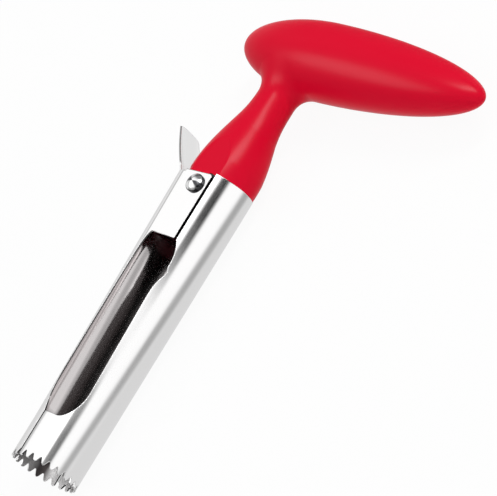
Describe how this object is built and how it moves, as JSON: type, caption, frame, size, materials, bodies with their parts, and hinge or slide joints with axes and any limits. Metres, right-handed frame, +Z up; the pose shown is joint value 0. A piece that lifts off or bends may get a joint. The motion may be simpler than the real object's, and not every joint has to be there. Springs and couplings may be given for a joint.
{
  "type": "apple corer",
  "caption": "Apple corer with a toothed steel barrel that opens on a rivet when its thumb lever is pressed, on a plastic T-shaped handle.",
  "frame": {"origin": "centre of the box that holds the corer, on the surface that it lies on", "axes": "+X towards the grip's long arm, +Y along the barrel from the mouth to the handle, +Z up along the rivet"},
  "size_m": [0.1034, 0.1773, 0.0266],
  "materials": {
    "red_plastic": "satin",
    "polished_steel": "polished",
    "rivet_steel": "polished",
    "spring_wire": "drawn wire"
  },
  "bodies": {
    "handle_body": {"handle": "red_plastic", "fixed_blade": "polished_steel", "hinge_rivet": "rivet_steel", "return_spring": "spring_wire"},
    "jaw": {"hinged_blade": "polished_steel"}
  },
  "joints": [
    {"name": "jaw_hinge", "type": "hinge", "parent": "handle_body", "child": "jaw", "pos_m": [-0.02666, 0.01698, 0.0133], "axis": [0, 0, -1], "range_deg": [0, 7.5], "stiffness_Nm_per_rad": 0.15, "springref_deg": -20.05, "deforming": ["return_spring"]}
  ]
}
